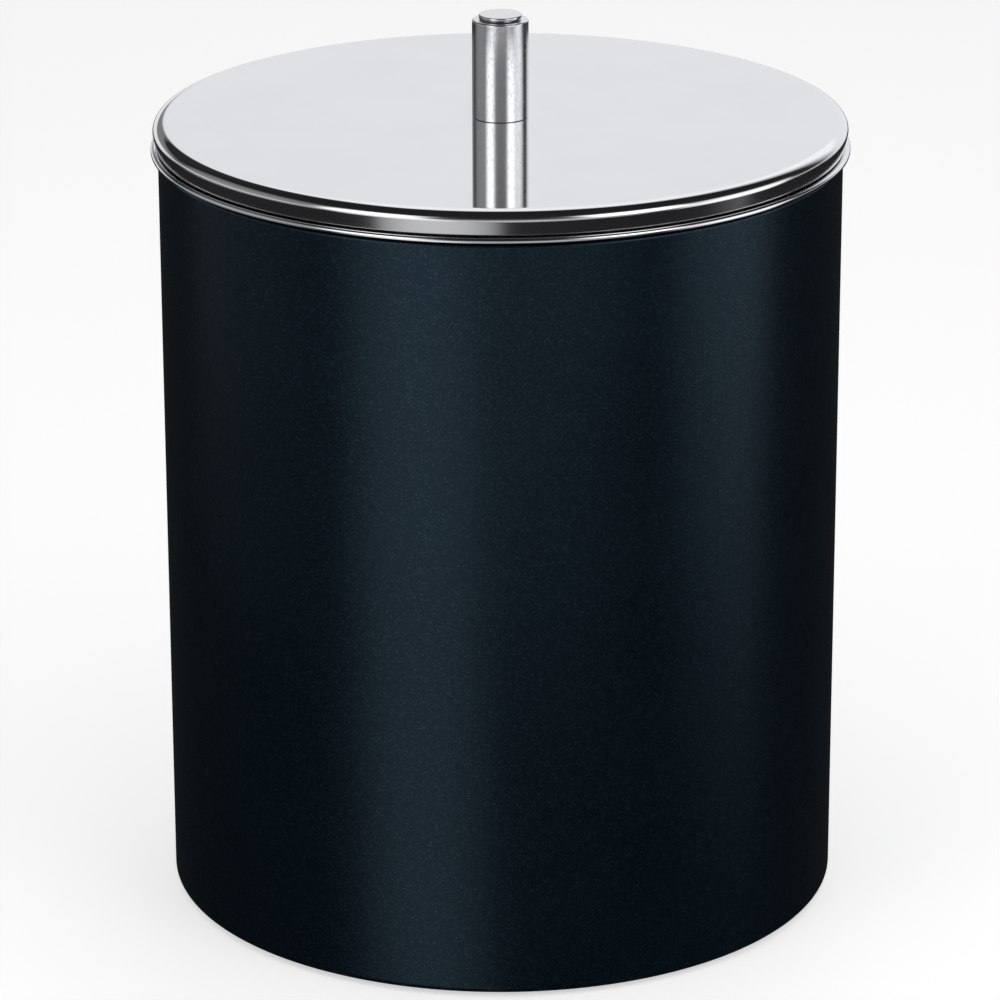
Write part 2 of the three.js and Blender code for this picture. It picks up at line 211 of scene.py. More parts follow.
def spun(name, outline, turns=256, centre=(0, 0)):
    """Corner (i, j) is outline point i at angle 2 pi j / turns, in millimetres from the centre. It
    faces the outline's direction turned by the same angle, or straight up or down on the axis."""
    points, facing = outline
    on_axis = points[:, 0] < SAME_PLACE
    facing = np.where(on_axis[:, None] & [True, False], 0, facing)
    step = np.arange(turns)
    kept = ~on_axis[:, None] | (step == 0)
    corners = turned_round(points, turns)[kept] * MM + np.array([*centre, 0]) * MM
    directions = turned_round(facing, turns)[kept]

    first = np.concatenate([[0], np.cumsum(kept.sum(axis=1))[:-1]])
    after = (step + 1) % turns
    rows = range(len(points) - 1) if on_axis.any() else range(len(points))
    faces = []
    for row in rows:
        up = (row + 1) % len(points)
        low_a, low_b = (first[row] + (0 if on_axis[row] else s) for s in (step, after))
        top_a, top_b = (first[up] + (0 if on_axis[up] else s) for s in (step, after))
        if on_axis[row]:
            ring = np.broadcast_arrays(low_a, top_b, top_a)
        elif on_axis[up]:
            ring = np.broadcast_arrays(low_a, low_b, top_a)
        else:
            ring = (low_a, low_b, top_b, top_a)
        faces += np.stack(ring, 1).tolist()
    return make_mesh(name, corners, faces, directions)


def from_axis(corners, radii, steps=6):
    """The outline of a solid piece, whose first and last corners lie on the axis."""
    return joined(rounded(corners, [0, *radii, 0], closed=False, steps=steps))


disc = from_axis([[0, 0], [9, 0], [9, 2], [0, 2]], [1, 1])
print("half of a solid disc's outline has", len(disc[0]), "points")

# %% [markdown]
# ## Threads and nuts
#
# A screw thread and a hexagon are also functions of an angle and a height. The thread's radius
# swings in and out along a helix. The nut's radius is that of a hexagon, cut back near both faces
# by the cone that a lathe leaves on its corners.

# %% Surfaces with a radius for every angle and height
CREASE = math.radians(35)  # edges that bend more than this stay sharp


def around_axis(name, radius_at, heights, turns, bore=0):
    """Corner (i, j) lies at radius_at(height i, angle j). The grid closes on the axis, or through a
    bore of the given radius."""
    angle = 2 * np.pi * np.arange(turns) / turns
    height, turned = np.meshgrid(heights, angle, indexing="ij")
    radius = radius_at(height, turned)
    wall = np.stack([radius * np.cos(turned), radius * np.sin(turned), height], 2)
    bottom, top = turned_round(np.array([[bore, heights[0]], [bore, heights[-1]]]), turns)
    grid = np.stack([bottom, *wall, top])
    count = len(grid)
    step = np.arange(turns)
    after = (step + 1) % turns
    faces = []
    for row in range(count if bore else count - 1):
        below, above = row * turns, (row + 1) % count * turns
        ring = (below + step, below + after, above + after, above + step)
        faces += np.stack(ring, 1).tolist()
    piece = make_mesh(name, grid.reshape(-1, 3) * MM, faces)
    if not bore:
        close_poles(piece.data)
    piece.data.set_sharp_from_angle(angle=CREASE)
    return piece


def close_poles(mesh):
    """Merges the corners that fell together on the axis."""
    work = bmesh.new()
    work.from_mesh(mesh)
    bmesh.ops.remove_doubles(work, verts=work.verts, dist=SAME_PLACE * MM)
    work.to_mesh(mesh)
    work.free()


def thread(outside, pitch, depth):
    """Radius of a rounded thread: a cosine wave along the height, shifted by one pitch a turn."""
    def radius_at(height, angle):
        wave = np.cos(2 * np.pi * height / pitch - angle)
        return outside - depth / 2 + depth / 2 * wave
    return radius_at


def hexagon(across_flats, low, high, chamfer, widening=0.8):
    """Radius of a hexagon, no further out than a cone. The cone starts at the flats on each face,
    and is widening further out where it is chamfer deep."""
    def radius_at(height, angle):
        within = (angle + np.pi / 6) % (np.pi / 3) - np.pi / 6
        flat = across_flats / 2 / np.cos(within)
        cone = across_flats / 2 + np.minimum(height - low, high - height) / chamfer * widening
        return np.minimum(flat, cone)
    return radius_at


nut_shape = hexagon(10, 0, 5, chamfer=0.5)
print("a 10 mm nut is", round(2 * nut_shape(2.5, math.pi / 6), 2), "mm across its corners")

# %% [markdown]
# ## Shader arithmetic
#
# A finish is a recipe of numbers and colours. Writing it with plus and times signs keeps it
# readable, so a small class wraps a socket and adds a Math node for each sign. Every other node
# comes from one method that takes its type, its settings and its inputs.

# %% A socket that does arithmetic
class Value:
    """One output socket. Arithmetic on it adds Math nodes to its tree."""

    def __init__(self, finish, socket):
        self.finish, self.socket = finish, socket

    def math(self, operation, *inputs):
        return self.finish.add("ShaderNodeMath", {"operation": operation}, dict(enumerate(inputs)))

    def __add__(self, other):
        return self.math("ADD", self, other)

    __radd__ = __add__

    def __mul__(self, other):
        return self.math("MULTIPLY", self, other)

    __rmul__ = __mul__

    def __sub__(self, other):
        return self.math("SUBTRACT", self, other)

    def __rsub__(self, other):
        return self.math("SUBTRACT", other, self)

    def __pow__(self, other):
        return self.math("POWER", self, other)

    def above(self, low, high):
        """0 below low, 1 above high, and straight between."""
        limits = {"Value": self, "From Min": low, "From Max": high}
        return self.finish.add("ShaderNodeMapRange", {"clamp": True}, limits)


print("a Value's methods:", *(name for name in vars(Value) if callable(getattr(Value, name))))

# %% [markdown]
# ## The tree of a finish
#
# Each finish starts as an empty tree, and a few methods name what it is built from: a place on the
# piece, noise, cells, a mix of two colours, a relief, and the shader.

# %% A tree with its nodes by name
class Finish:
    """A material's node tree, or the world's, with its output ready to link."""

    def __init__(self, owner):
        owner.use_nodes = True
        self.owner, self.tree = owner, owner.node_tree
        self.tree.nodes.clear()

    def add(self, kind, settings=None, inputs=None, output=0):
        """Adds a node of this kind. Its settings go in first, then each input gets a value or a
        link. What comes back is the output asked for, by name or number."""
        node = self.tree.nodes.new(kind)
        for name, setting in (settings or {}).items():
            setattr(node, name, setting)
        for name, given in (inputs or {}).items():
            if isinstance(given, Value):
                self.tree.links.new(given.socket, node.inputs[name])
            else:
                node.inputs[name].default_value = given
        return Value(self, node.outputs[output]) if node.outputs else None

    def mix(self, share, first, second):
        """A colour between two, by share. The node has an A and a B for each type of value, so its
        colour sockets go by number."""
        settings = {"data_type": "RGBA", "clamp_factor": True}
        return self.add("ShaderNodeMix", settings, {0: share, 6: first, 7: second}, output=2)

    def scaled(self, vector, by):
        """A vector with each of its parts multiplied by its own number."""
        return self.add("ShaderNodeVectorMath", {"operation": "MULTIPLY"}, {0: vector, 1: by})

    def place(self):
        """The place on the piece, in metres, which moves with the piece."""
        return self.add("ShaderNodeTexCoord", output="Object")

    def split(self, vector):
        """The three parts of a vector."""
        parts = self.add("ShaderNodeSeparateXYZ", {}, {0: vector}).socket.node.outputs
        return [Value(self, part) for part in parts]

    def noise(self, vector, size_mm, detail=2.0, roughness=0.5):
        """Soft patches of about the given size, from 0 to 1. Detail adds finer ones to them."""
        scale = 1 / (size_mm * MM)
        inputs = {"Vector": vector, "Scale": scale, "Detail": detail, "Roughness": roughness}
        return self.add("ShaderNodeTexNoise", {}, inputs)

    def cells(self, vector, size_mm):
        """A random tone for each cell of about the given size."""
        inputs = {"Vector": vector, "Scale": 1 / (size_mm * MM)}
        colour = self.add("ShaderNodeTexVoronoi", {"feature": "F1"}, inputs, output="Color")
        return self.add("ShaderNodeSeparateColor", {}, {0: colour})

    def bump(self, height, depth_mm, strength, before=None):
        """The direction of a surface with this relief on it, on top of the relief before it."""
        inputs = {"Height": height, "Strength": strength, "Distance": depth_mm * MM}
        if before is not None:
            inputs["Normal"] = before
        return self.add("ShaderNodeBump", {}, inputs)

    def surface(self, **inputs):
        """The Principled shader on the output. Names are its sockets, with _ for a space."""
        named = {name.replace("_", " "): given for name, given in inputs.items()}
        shader = self.add("ShaderNodeBsdfPrincipled", {}, named)
        self.add("ShaderNodeOutputMaterial", {}, {"Surface": shader})
        return self.owner


def new_finish(name):
    return Finish(bpy.data.materials.new(name))


print("a Finish's methods:", *(name for name in vars(Finish) if callable(getattr(Finish, name))))

# %% [markdown]
# ## Marks that run round
#
# Turning and spinning leave fine grooves round the axis. Noise makes them when it is read at a place
# that changes with radius and height, but hardly at all with the angle.

# %% A place for round marks
ROUND_DRIFT = 0.4  # length of the vector that carries the angle, in millimetres


def round_marks(finish, wander_mm=0.0):
    """The vector (radius, height, 0) plus a short one that points outwards, ROUND_DRIFT + wander_mm
    long. The angle enters only through that one, so there is no seam."""
    x, y, z = finish.split(finish.place())
    radius = (x * x + y * y) ** 0.5
    outward = finish.add("ShaderNodeCombineXYZ", {}, {"X": x, "Y": y, "Z": 0.0})
    around = finish.add("ShaderNodeVectorMath", {"operation": "NORMALIZE"}, {0: outward})
    drift = finish.scaled(around, ((ROUND_DRIFT + wander_mm) * MM,) * 3)
    rings = finish.add("ShaderNodeCombineXYZ", {}, {"X": radius, "Y": z, "Z": 0.0})
    return finish.add("ShaderNodeVectorMath", {"operation": "ADD"}, {0: rings, 1: drift})


print("round marks drift by", 2 * ROUND_DRIFT, "mm from one side to the other")

# %% [markdown]
# ## The coating on the shell
#
# The tube is sprayed with a dark blue-black paint that holds tiny metal flakes, and then baked. Up
# close the flakes make a fine speckle of lighter and darker points. From further away they only
# soften and tint the reflections. They also make the paint reflect like a dark metal and not like
# varnish, so it is mostly metallic. It pulls into a very slight orange peel as it flows, and it is
# rubbed a little thinner where the curled bottom edge meets the table.

# %% Mix the coating
def coated_steel():
    f = new_finish("black_coating")
    here = f.place()
    height = f.split(here)[2]
    flake = f.cells(here, 0.24)
    cloud = f.noise(here, 26, detail=3.0)
    grain = f.noise(here, 0.7, detail=3.0)
    worn = f.noise(here, 3.0, detail=4.0).above(0.52, 0.66)
    rubbed = (1.0 - height.above(0.9 * MM, 2.4 * MM)) * worn

    night_blue = (0.0055, 0.0178, 0.0292, 1)
    steel_blue = (0.0064, 0.0203, 0.0328, 1)
    flake_blue = (0.060, 0.120, 0.155, 1)
    shade_blue = (0.0020, 0.0100, 0.0190, 1)
    rubbed_grey = (0.08, 0.09, 0.10, 1)
    paint = f.mix(cloud.above(0.3, 0.7), night_blue, steel_blue)
    paint = f.mix((flake ** 6.0) * 0.35, paint, flake_blue)
    paint = f.mix(grain.above(0.42, 0.70) * 0.35, paint, shade_blue)
    paint = f.mix(rubbed * 0.55, paint, rubbed_grey)

    gloss = 0.245 + cloud * 0.04 + flake * 0.045 + rubbed * 0.12
    peel = f.bump(f.noise(here, 1.1, detail=1.0), depth_mm=0.006, strength=0.4)
    sparkle = f.bump(flake, depth_mm=0.006, strength=0.3, before=peel)
    return f.surface(Base_Color=paint, Metallic=0.85, Roughness=gloss, Normal=sparkle,
                     Specular_IOR_Level=1.0)


COATING = coated_steel()
print("finish:", COATING.name)

# %% [markdown]
# ## Polished and turned steel
#
# The lid and the rim are buffed to a mirror. A mirror is never empty: it has round polishing marks
# too fine to count, a few hairlines, and the faint cloud that fingers leave. All of that stays weak,
# so that the flat top still reflects like glass. The knob is turned from bar and polished less, so
# its rings and a dark grit can be seen.

# %% Mix the polished steels
LAPPED_EDGE = 0.4  # height over which a lapped face goes over into a buffed one, in millimetres


def polished_steel(name, ring_mm, ring_depth_mm, ring_strength, gloss, smudge,
                   grit=0.0, lapped_above=None):
    """Buffed steel. Above the height lapped_above, in millimetres, it is lapped to a mirror. Below
    that it stays a little softer."""
    f = new_finish(name)
    here = f.place()
    rings = f.noise(round_marks(f), ring_mm, detail=3.0, roughness=0.6)
    cloud = f.noise(here, 21, detail=4.0, roughness=0.55).above(0.42, 0.72)
    hairline = f.noise(f.scaled(here, (1.0, 14.0, 1.0)), 3.4, detail=2.0).above(0.74, 0.78)
    upright = f.scaled(here, (1.0, 1.0, 0.35))
    specks = f.noise(upright, 0.3, detail=3.0, roughness=0.7).above(0.50, 0.70)

    bright, clouded, speck_grey = (0.82, 0.825, 0.84, 1), (0.79, 0.80, 0.825, 1), (0.42, 0.43, 0.47, 1)
    colour = f.mix(cloud, bright, clouded)
    colour = f.mix(specks * grit, colour, speck_grey)
    roughness = gloss + rings * (gloss * 0.5) + cloud * smudge + hairline * 0.02
    roughness = roughness + specks * (grit * 0.12)
    if lapped_above is not None:
        lapped = f.split(here)[2].above((lapped_above - LAPPED_EDGE) * MM, lapped_above * MM)
        roughness = roughness + (1.0 - lapped) * (rings * 0.06 + 0.07)
    normal = f.bump(rings, depth_mm=ring_depth_mm, strength=ring_strength)
    return f.surface(Base_Color=colour, Metallic=1.0, Roughness=roughness, Normal=normal)


lid_height = reach("lid_top")[2]
MIRROR = polished_steel("polished_steel", ring_mm=0.25, ring_depth_mm=0.0004, ring_strength=0.12,
                        gloss=0.03, smudge=0.010, lapped_above=lid_height - 0.5)
TURNED = polished_steel("turned_steel", ring_mm=0.16, ring_depth_mm=0.006, ring_strength=0.50,
                        gloss=0.16, smudge=0.05, grit=0.6)
print("finishes:", MIRROR.name, "and", TURNED.name)

# %% [markdown]
# ## Satin steel
#
# Inside, the steel is left satin. The cup, the lid's tray, the strainer and the base are spun under
# an abrasive pad, which leaves rings that are easy to see and a soft, wide highlight. Dried water
# leaves pale marks, so the cup's colour and roughness drift in patches.

# %% Mix the satin steel
def satin_steel():
    f = new_finish("satin_steel")
    here = f.place()
    fine = f.noise(round_marks(f), 0.22, detail=3.0, roughness=0.7)
    broad = f.noise(round_marks(f, wander_mm=2.0), 1.6, detail=3.0)
    stain = f.noise(here, 17, detail=5.0, roughness=0.6).above(0.5, 0.75)
    groove, ridge, dried_water = (0.50, 0.50, 0.51, 1), (0.66, 0.66, 0.67, 1), (0.72, 0.71, 0.69, 1)
    colour = f.mix(fine.above(0.3, 0.7), groove, ridge)
    colour = f.mix(stain * 0.25, colour, dried_water)
    roughness = 0.24 + fine * 0.12 + broad * 0.08 + stain * 0.06
    normal = f.bump(fine + broad * 0.6, depth_mm=0.012, strength=0.4)
    return f.surface(Base_Color=colour, Metallic=1.0, Roughness=roughness, Normal=normal)


SATIN = satin_steel()
print("finish:", SATIN.name)

# %% [markdown]
# ## The small hardware and the soft pieces
#
# Zinc plate is duller than polished steel and slightly blue, with a faint crystal mottle. Moulded
# rubber is dark and rough, with a fine spark-eroded grain and a little dust in it. Silicone is the
# same with a paler colour and a softer shine. Rigid foam is cut from a block, so it shows open cells.

# %% Mix the other finishes
def zinc_plate():
    f = new_finish("zinc_steel")
    here = f.place()
    crystal = f.cells(here, 0.9)
    dull = f.noise(here, 4, detail=4.0).above(0.4, 0.7)
    blue_zinc, pale_zinc = (0.46, 0.49, 0.52, 1), (0.58, 0.60, 0.60, 1)
    dull_zinc = (0.42, 0.41, 0.38, 1)
    colour = f.mix(crystal, blue_zinc, pale_zinc)
    colour = f.mix(dull * 0.35, colour, dull_zinc)
    return f.surface(Base_Color=colour, Metallic=1.0, Roughness=0.3 + dull * 0.15 + crystal * 0.06,
                     Normal=f.bump(crystal, depth_mm=0.004, strength=0.3))


def moulded(name, dark, pale, grain_mm, gloss, specular, dust=(0.20, 0.19, 0.18, 1)):
    """Rubber, silicone or nylon: a moulded grain, a slow drift of tone, and dust in patches."""
    f = new_finish(name)
    here = f.place()
    grain = f.noise(here, grain_mm, detail=3.0, roughness=0.6)
    drift = f.noise(here, 11, detail=3.0)
    dusty = f.noise(here, 5, detail=5.0, roughness=0.65).above(0.56, 0.78)
    colour = f.mix(drift.above(0.3, 0.7), dark, pale)
    colour = f.mix(dusty * 0.18, colour, dust)
    return f.surface(Base_Color=colour, Metallic=0.0, Roughness=gloss + grain * 0.14 + dusty * 0.06,
                     Specular_IOR_Level=specular, Normal=f.bump(grain, depth_mm=0.03, strength=0.5))


def rigid_foam():
    f = new_finish("rigid_foam")
    here = f.place()
    pores = {"Vector": here, "Scale": 1 / (0.8 * MM)}
    wall = f.add("ShaderNodeTexVoronoi", {"feature": "SMOOTH_F1"}, pores, output="Distance")
    drift = f.noise(here, 30, detail=3.0)
    straw, cream, pore_shade_brown = (0.78, 0.72, 0.56, 1), (0.84, 0.80, 0.68, 1), (0.60, 0.53, 0.38, 1)
    colour = f.mix(drift.above(0.3, 0.7), straw, cream)
    # Painted shade: the middle of each open cell, where its pit is deepest, is mixed towards a darker
    # brown.
    colour = f.mix((1.0 - wall.above(0.1, 0.55)) * 0.3, colour, pore_shade_brown)
    return f.surface(Base_Color=colour, Metallic=0.0, Roughness=0.86 + wall * 0.1,
                     Normal=f.bump(wall, depth_mm=0.12, strength=0.6))


ZINC = zinc_plate()
RUBBER = moulded("black_rubber", dark=(0.016, 0.016, 0.018, 1), pale=(0.028, 0.028, 0.030, 1),
                 grain_mm=0.4, gloss=0.68, specular=0.35)
SILICONE = moulded("silicone", dark=(0.42, 0.44, 0.46, 1), pale=(0.50, 0.52, 0.53, 1),
                   grain_mm=0.6, gloss=0.42, specular=0.4, dust=(0.7, 0.7, 0.68, 1))
NYLON = moulded("black_nylon", dark=(0.012, 0.012, 0.013, 1), pale=(0.020, 0.020, 0.022, 1),
                grain_mm=0.3, gloss=0.45, specular=0.45)
FOAM = rigid_foam()
print("finishes:", ", ".join(m.name for m in (ZINC, RUBBER, SILICONE, NYLON, FOAM)))

# %% [markdown]
# ## The outer shell
#
# One long tube. Its top edge turns in under the rim. Its bottom edge curls in and back up like a
# rolled hem, which gives the bottom its small, even radius, and ends in a ledge that the base plate
# pulls against.

# %% Make the outer shell
def fit_piece(piece, finish, body, node):
    """Gives a piece its finish, lets it ride on its body, and hides the CAD piece that it stands for.
    """
    piece.data.materials.append(finish)
    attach(piece, body)
    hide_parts(node)
    print(f"{piece.name}: {len(piece.data.polygons)} faces on {body}")


SHELL_SHEET = 0.8
HEM_DEPTH = 2.2  # from the tube's outside to the wall that turns back up
LEDGE_UNDER, LEDGE_END = 3.2, 66  # height of the ledge's underside, and the radius where it ends
FLANGE_END = 68.6  # radius where the turned-in top edge ends
CURL, SHOULDER, HEM_BEND, BREAK = 1.48, 0.8, 0.5, 0.2  # corner radii, down to that of a cut edge

radius, low, high = reach("outer_shell")
inside, inside_top, inside_foot = radius - SHELL_SHEET, high - SHELL_SHEET, low + SHELL_SHEET
hem_outside, hem_inside = radius - HEM_DEPTH, radius - HEM_DEPTH - SHELL_SHEET
ledge_top = LEDGE_UNDER + SHELL_SHEET
inner_curl = CURL - SHELL_SHEET
shell_outline = joined(rounded([
    [radius, low], [radius, high], [FLANGE_END, high], [FLANGE_END, inside_top],
    [inside, inside_top], [inside, inside_foot], [hem_outside, inside_foot],
    [hem_outside, ledge_top], [LEDGE_END, ledge_top], [LEDGE_END, LEDGE_UNDER],
    [hem_inside, LEDGE_UNDER], [hem_inside, low],
], [
    CURL, SHOULDER, BREAK, BREAK,
    BREAK, inner_curl, inner_curl,
    HEM_BEND, BREAK, BREAK,
    BREAK, CURL,
], steps=8))
fit_piece(spun("shell_tube", shell_outline, turns=320), COATING, "bucket", "outer_shell")

# %% [markdown]
# ## The rim
#
# The rim is pressed from polished sheet. Its seat carries the lid, and falls outwards by a hair, so
# that water runs off. Outside it the rim rolls over in a wide curve to a lip that overhangs the
# shell, so the joint with the coating is always in shadow. A rubber gasket under the rim seals the
# space between the walls.

# %% Make the rim and its gasket
RIM_SHEET = 0.7
MOUTH = 65.1  # radius of the rim's opening
LIP_TOP, LIP_FOOT = 1.2, 0.95  # width of the lip below the seat and at its edge
SEAT_FALL = 0.05
LIP_ROLL = 0.70  # radius of the wide curve

radius, low, high = reach("rim_ring")
seat_under = high - RIM_SHEET
rim_outline = joined(rounded([
    [MOUTH, seat_under], [radius - LIP_TOP, seat_under], [radius - LIP_FOOT, low], [radius, low],
    [radius, high - SEAT_FALL], [MOUTH, high],
], [0.15, 0.1, 0.12, 0.22, LIP_ROLL, 0.32]))
fit_piece(spun("rim_pressing", rim_outline, turns=320), MIRROR, "bucket", "rim_ring")


def flat_ring(name, node, bore, break_radius, turns, steps=6):
    """A washer, a band or a tube of a CAD piece's outside radius and height, round a bore."""
    radius, low, high = reach(node)
    corners = [[bore, low], [radius, low], [radius, high], [bore, high]]
    return spun(name, joined(rounded(corners, break_radius, steps=steps)), turns)


GASKET_BORE = 69.5
gasket = flat_ring("gasket_band", "rim_gasket", GASKET_BORE, 0.25, turns=192)
fit_piece(gasket, RUBBER, "bucket", "rim_gasket")

# %% [markdown]
# ## The liner
#
# The cup that holds the ice is drawn from one sheet. A drawn cup needs a generous corner at the
# bottom, and its mouth rolls out into a flange that lies under the rim.

# %% Make the liner
LINER_SHEET = 0.7
LINER_INSIDE = 65
CUP_CORNER, MOUTH_BEND = 6, 0.7  # outside radius at the bottom, inside radius under the flange

flange, low, high = reach("inner_liner")
outside = LINER_INSIDE + LINER_SHEET
flange_under, cup_floor = high - LINER_SHEET, low + LINER_SHEET
liner_outline = from_axis([
    [0, low], [outside, low], [outside, flange_under], [flange, flange_under],
    [flange, high], [LINER_INSIDE, high], [LINER_INSIDE, cup_floor], [0, cup_floor],
], [
    CUP_CORNER, MOUTH_BEND, BREAK,
    BREAK, MOUTH_BEND + LINER_SHEET, CUP_CORNER - LINER_SHEET,
], steps=10)
fit_piece(spun("liner_cup", liner_outline), SATIN, "bucket", "inner_liner")

# %% [markdown]
# ## Insulation
#
# A foam tube fills the gap between the walls, and a foam disc carries the floor of the cup. Both
# are cut from block, so they only need their true outline and an eased edge.

# %% Make the insulation
SLEEVE_BORE = 66
FLOOR_BORE = 16  # room for the stud and for the pocket of its nut
for name, node, bore in (("sleeve_foam", "insulation_sleeve", SLEEVE_BORE),
                         ("floor_foam", "insulation_disc", FLOOR_BORE)):
    fit_piece(flat_ring(name, node, bore, 0.5, turns=160), FOAM, "bucket", node)

# %% [markdown]
# ## The base
#
# Underneath, a pressed plate closes the bucket. A raised ring stiffens it, and a pocket in the
# middle hides the nut of the stud that ties liner, rim, shell and plate together. A rubber ring
# stands a little proud of the shell's edge. Two grooves let it grip a wet bar top.

# %% Make the base plate and the foot
STUD_BORE = 3.5
POCKET_CEILING, POCKET_FOOT = 11, 12.4  # radii of the nut's pocket, whose wall leans out
RING_RADII = (30, 34, 50, 54)  # where the stiffening ring starts to rise, is up, and comes down
RING_RISE = 1

radius, low, high = reach("base_plate")
ceiling = high - SHELL_SHEET
rise_start, rise_end, fall_start, fall_end = RING_RADII
under = [
    [STUD_BORE, ceiling], [POCKET_CEILING, ceiling], [POCKET_FOOT, low], [rise_start, low],
    [rise_end, low + RING_RISE], [fall_start, low + RING_RISE], [fall_end, low], [radius, low],
]
upper = [[r, z + SHELL_SHEET] for r, z in reversed(under)]
plate_bends = [0.1, 1.0, 1.0, 2.5, 2.5, 2.5, 2.5, BREAK]
plate_outline = joined(rounded([*under, *upper], [*plate_bends, *reversed(plate_bends)]))
fit_piece(spun("base_pressing", plate_outline, turns=192), SATIN, "bucket", "base_plate")

FOOT_INSIDE = 58
GROOVE_STARTS = (61, 64.8)
GROOVE_WIDTH, GROOVE_SLOPE, GROOVE_DEPTH = 1.5, 0.3, 0.7

radius, low, high = reach("foot_ring")
groove_steps = ((0, 0), (GROOVE_SLOPE, GROOVE_DEPTH),
                (GROOVE_WIDTH - GROOVE_SLOPE, GROOVE_DEPTH), (GROOVE_WIDTH, 0))
grooves = [[start + r, low + z] for start in GROOVE_STARTS for r, z in groove_steps]
foot_outline = joined(rounded(
    [[FOOT_INSIDE, low], *grooves, [radius, low], [radius, high], [FOOT_INSIDE, high]],
    [0.4, *[0.15] * len(grooves), 0.4, BREAK, BREAK], steps=3))
fit_piece(spun("foot_rubber", foot_outline, turns=192), RUBBER, "bucket", "foot_ring")

# %% [markdown]
# ## The stud, its washer and its nut
#
# The stud is welded under the cup by its wide head. Only its end shows, in the pocket, with a
# hexagon nut on it. Both are made from a radius for every angle and height.

# %% Make the tie stud, washer and nut
STUD_RADIUS = 3.0
HEAD_THICKNESS = 1
TIP_CHAMFER = 0.6
STEP_GAP = 0.02  # height over which the thread's end steps out to the head

head, low, high = reach("tie_stud")
head_under = high - HEAD_THICKNESS
stud_thread = thread(STUD_RADIUS, pitch=1.0, depth=0.55)


def stud_radius(height, angle):
    """Threaded up to the head, with a short cone at the tip."""
    tip = STUD_RADIUS - TIP_CHAMFER + (height - low)
    return np.where(height < head_under, np.minimum(stud_thread(height, angle), tip), head)


stud_heights = [*np.linspace(low, head_under - STEP_GAP, 96), head_under, high]
stud = around_axis("stud_threaded", stud_radius, np.array(stud_heights), turns=48)
fit_piece(stud, ZINC, "bucket", "tie_stud")

NUT_CHAMFER = 0.5
NUT_BORE = STUD_RADIUS + 0.3
corner_radius, low, high = reach("tie_nut")
nut_heights = [*np.linspace(low, low + NUT_CHAMFER, 6), *np.linspace(high - NUT_CHAMFER, high, 6)]
nut_shape = hexagon(2 * corner_radius * math.cos(math.pi / 6), low, high, NUT_CHAMFER)
nut = around_axis("stud_nut", nut_shape, np.array(nut_heights), turns=192, bore=NUT_BORE)
fit_piece(nut, ZINC, "bucket", "tie_nut")

WASHER_BORE = 3.4
washer = flat_ring("stud_washer", "tie_washer", WASHER_BORE, [0.1, 0.35, 0.1, 0.1], turns=96)
fit_piece(washer, ZINC, "bucket", "tie_washer")

# %% [markdown]
# ## The strainer
#
# A perforated plate stands on four feet and keeps the ice out of its own melt water. A flat shape
# full of holes is what a filled two-dimensional curve is for: every ring is a closed curve, the
# fill goes between them, and a small bevel breaks each edge. It is made a mesh before it is placed.

# %% Punch the strainer
HANDLE = 0.5523  # length of a handle, as a share of the radius, that makes a quarter circle


def ring_curve(curve, x, y, radius, resolution):
    """A circle as four Bezier points, each with handles along the circle."""
    spline = curve.splines.new("BEZIER")
    spline.bezier_points.add(3)
    spline.use_cyclic_u = True
    spline.resolution_u = resolution
    quarter = np.pi / 2 * np.arange(4)
    out = np.stack([np.cos(quarter), np.sin(quarter)], 1)
    along = np.stack([-out[:, 1], out[:, 0]], 1)
    for point, o, a in zip(spline.bezier_points, out, along):
        place = np.array([x, y]) + o * radius
        point.co = (*(place * MM), 0)
        point.handle_left = (*((place - a * radius * HANDLE) * MM), 0)
        point.handle_right = (*((place + a * radius * HANDLE) * MM), 0)


EDGE = 0.16  # the bevel that breaks every edge of the plate
PLATE_CREASE = math.radians(20)
DRAIN_HOLE = 3.5
FINGER_HOLE, FINGER_PLACE = 9, 22
DRAIN_RINGS = (  # the radius of each ring of holes, and their angles in degrees
    (10, [45, 135, 225, 315]),
    (25, [60, 90, 120, 240, 270, 300]),
    (38, [22.5 * i for i in range(16)]),
    (50, [15 * i + 7.5 for i in range(24)]),
)

radius, low, high = reach("strainer_plate")
curve = bpy.data.curves.new("strainer_outline", "CURVE")
curve.dimensions, curve.fill_mode = "2D", "BOTH"
curve.extrude = ((high - low) / 2 - EDGE) * MM
curve.bevel_depth, curve.bevel_resolution, curve.offset = EDGE * MM, 1, -EDGE * MM
ring_curve(curve, 0, 0, radius, resolution=48)
for ring_radius, angles in DRAIN_RINGS:
    for angle in np.radians(angles):
        x, y = ring_radius * math.cos(angle), ring_radius * math.sin(angle)
        ring_curve(curve, x, y, DRAIN_HOLE, resolution=8)
for x in (-FINGER_PLACE, FINGER_PLACE):
    ring_curve(curve, x, 0, FINGER_HOLE, resolution=16)
flat = bpy.data.objects.new("strainer_outline", curve)
bpy.context.scene.collection.objects.link(flat)
bpy.context.view_layer.update()
filled = flat.evaluated_get(bpy.context.evaluated_depsgraph_get())
plate_mesh = bpy.data.meshes.new_from_object(filled)
bpy.data.objects.remove(flat)
plate_mesh.transform(Matrix.Translation((0, 0, (low + high) / 2 * MM)))
plate_mesh.name = "strainer_sheet"
plate_mesh.polygons.foreach_set("use_smooth", np.ones(len(plate_mesh.polygons), bool))
plate_mesh.set_sharp_from_angle(angle=PLATE_CREASE)
plate = bpy.data.objects.new("strainer_sheet", plate_mesh)
bpy.context.scene.collection.objects.link(plate)
fit_piece(plate, SATIN, "strainer", "strainer_plate")

